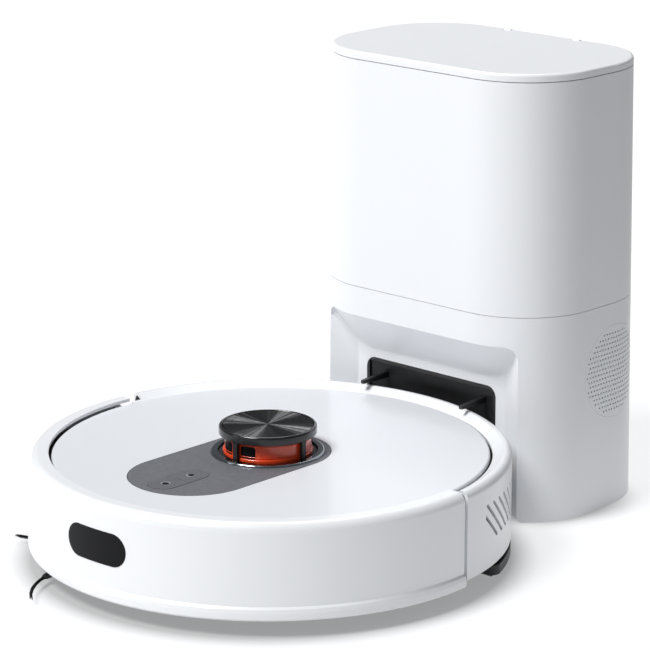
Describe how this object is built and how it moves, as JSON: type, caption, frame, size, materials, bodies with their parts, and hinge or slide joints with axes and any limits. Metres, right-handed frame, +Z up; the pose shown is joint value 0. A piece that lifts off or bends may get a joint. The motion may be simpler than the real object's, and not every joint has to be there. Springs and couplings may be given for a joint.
{
  "type": "robot vacuum",
  "caption": "Round robot vacuum with mop, lidar turret, side brush and lift-off cover, parked in its upright self-emptying dock.",
  "frame": {"origin": "centre of the dock's underside, on the floor; the docked robot's axis stands 231 mm in front of it", "axes": "+Z up, the front faces -Y and the robot drives out towards -Y, +X is the robot's left"},
  "size_m": [0.3524, 0.5079, 0.3422],
  "materials": {
    "white_gloss": "gloss",
    "white_inner": "matte",
    "black_matte": "matte",
    "black_gloss": "gloss",
    "panel_grey": "satin",
    "dark_grey": "matte",
    "drum_orange": "gloss",
    "spun_black": "brushed",
    "chrome_ring": "polished",
    "tyre_rubber": "matte",
    "soft_rubber": "matte",
    "grey_plastic": "matte",
    "clear_smoke": "satin",
    "contact_metal": "plated",
    "steel": "brushed",
    "bristle_red": "bristle",
    "pcb_green": "satin",
    "bag_fabric": "nonwoven",
    "mop_fabric": "microfibre",
    "filter_fabric": "pleated"
  },
  "bodies": {
    "dock": {"dock_lower_shell": "white_gloss", "dock_exhaust_grille": "white_gloss", "dock_upper_shell": "white_gloss", "dock_hinge_pin": "steel", "dock_bag_chamber": "white_inner", "dock_dust_bag": "bag_fabric", "dock_intake_duct": "dark_grey", "dock_fan_housing": "dark_grey", "dock_bay_liner": "black_matte", "dock_port_seal": "soft_rubber", "dock_charge_contacts": "contact_metal", "dock_base_plate": "black_matte", "dock_rubber_feet": "soft_rubber", "dock_control_board": "pcb_green", "dock_power_inlet": "black_matte"},
    "dock_lid": {"dock_lid": "white_gloss"},
    "dock_impeller": {"dock_impeller": "grey_plastic"},
    "robot": {"rear_shell": "white_gloss", "wall_sensor_window": "black_gloss", "chassis_base": "black_matte", "upper_frame": "black_matte", "control_panel": "panel_grey", "lidar_base_ring": "chrome_ring", "lidar_frame": "black_matte", "lidar_cap": "spun_black", "battery_pack": "black_matte", "main_board": "pcb_green", "brush_housing": "dark_grey", "brush_guard": "black_matte", "brush_motor": "dark_grey", "wheel_pivot_pins": "steel", "side_brush_motor": "dark_grey", "dust_bin": "clear_smoke", "dust_filter": "filter_fabric", "fan_housing": "dark_grey", "mop_bracket": "black_matte", "mop_pad": "mop_fabric", "water_tank": "clear_smoke", "robot_charge_contacts": "contact_metal", "chassis_screws": "steel"},
    "bumper": {"bumper": "white_gloss", "bumper_window": "black_gloss"},
    "top_cover": {"top_cover": "white_gloss"},
    "power_button": {"power_button": "panel_grey"},
    "home_button": {"home_button": "panel_grey"},
    "lidar_rotor": {"lidar_rotor": "drum_orange", "lidar_lenses": "black_gloss"},
    "left_wheel_arm": {"left_wheel_arm": "dark_grey"},
    "left_wheel": {"left_wheel_hub": "grey_plastic", "left_wheel_tyre": "tyre_rubber"},
    "right_wheel_arm": {"right_wheel_arm": "dark_grey"},
    "right_wheel": {"right_wheel_hub": "grey_plastic", "right_wheel_tyre": "tyre_rubber"},
    "caster_fork": {"caster_fork": "dark_grey"},
    "caster_wheel": {"caster_wheel": "grey_plastic"},
    "side_brush": {"side_brush_hub": "grey_plastic", "side_brush_arms": "black_matte"},
    "main_brush": {"main_brush_core": "grey_plastic", "main_brush_bristles": "bristle_red"},
    "robot_impeller": {"robot_impeller": "grey_plastic"}
  },
  "joints": [
    {"name": "docking", "type": "slide", "parent": "dock", "child": "robot", "axis": [0, -1, 0], "range_m": [0, 0.4]},
    {"name": "dock_lid_hinge", "type": "hinge", "parent": "dock", "child": "dock_lid", "pos_m": [0, 0.07299, 0.3393], "axis": [-1, 0, 0], "range_deg": [0, 95]},
    {"name": "dock_impeller_spin", "type": "hinge", "parent": "dock", "child": "dock_impeller", "pos_m": [0.06, 0.022, 0.108], "axis": [1, 0, 0], "continuous": true},
    {"name": "bumper_travel", "type": "slide", "parent": "robot", "child": "bumper", "axis": [0, 1, 0], "range_m": [0, 0.0025], "stiffness_N_per_m": 1500, "springref_m": -0.002},
    {"name": "top_cover_lift", "type": "slide", "parent": "robot", "child": "top_cover", "axis": [0, 0, 1], "range_m": [0, 0.04]},
    {"name": "power_press", "type": "slide", "parent": "robot", "child": "power_button", "axis": [0, 0, -1], "range_m": [0, 0.0008], "stiffness_N_per_m": 1500, "springref_m": -0.001},
    {"name": "home_press", "type": "slide", "parent": "robot", "child": "home_button", "axis": [0, 0, -1], "range_m": [0, 0.0008], "stiffness_N_per_m": 1500, "springref_m": -0.001},
    {"name": "lidar_spin", "type": "hinge", "parent": "robot", "child": "lidar_rotor", "pos_m": [0, -0.234, 0.084], "axis": [0, 0, 1], "continuous": true},
    {"name": "left_suspension", "type": "hinge", "parent": "robot", "child": "left_wheel_arm", "pos_m": [0.096, -0.269, 0.042], "axis": [-1, 0, 0], "range_deg": [0, 16], "stiffness_Nm_per_rad": 0.35, "springref_deg": 34.38},
    {"name": "left_wheel_spin", "type": "hinge", "parent": "left_wheel_arm", "child": "left_wheel", "pos_m": [0.1175, -0.231, 0.033], "axis": [1, 0, 0], "continuous": true},
    {"name": "right_suspension", "type": "hinge", "parent": "robot", "child": "right_wheel_arm", "pos_m": [-0.096, -0.269, 0.042], "axis": [-1, 0, 0], "range_deg": [0, 16], "stiffness_Nm_per_rad": 0.35, "springref_deg": 34.38},
    {"name": "right_wheel_spin", "type": "hinge", "parent": "right_wheel_arm", "child": "right_wheel", "pos_m": [-0.1175, -0.231, 0.033], "axis": [1, 0, 0], "continuous": true},
    {"name": "caster_swivel", "type": "hinge", "parent": "robot", "child": "caster_fork", "pos_m": [0.02, -0.357, 0.03], "axis": [0, 0, 1], "continuous": true},
    {"name": "caster_roll", "type": "hinge", "parent": "caster_fork", "child": "caster_wheel", "pos_m": [0.02, -0.352, 0.013], "axis": [1, 0, 0], "continuous": true},
    {"name": "side_brush_spin", "type": "hinge", "parent": "robot", "child": "side_brush", "pos_m": [-0.073, -0.355, 0.008], "axis": [0, 0, 1], "continuous": true},
    {"name": "main_brush_spin", "type": "hinge", "parent": "robot", "child": "main_brush", "pos_m": [0, -0.193, 0.021], "axis": [1, 0, 0], "continuous": true},
    {"name": "robot_impeller_spin", "type": "hinge", "parent": "robot", "child": "robot_impeller", "pos_m": [0.111, -0.158, 0.03], "axis": [0, 0, 1], "continuous": true}
  ]
}
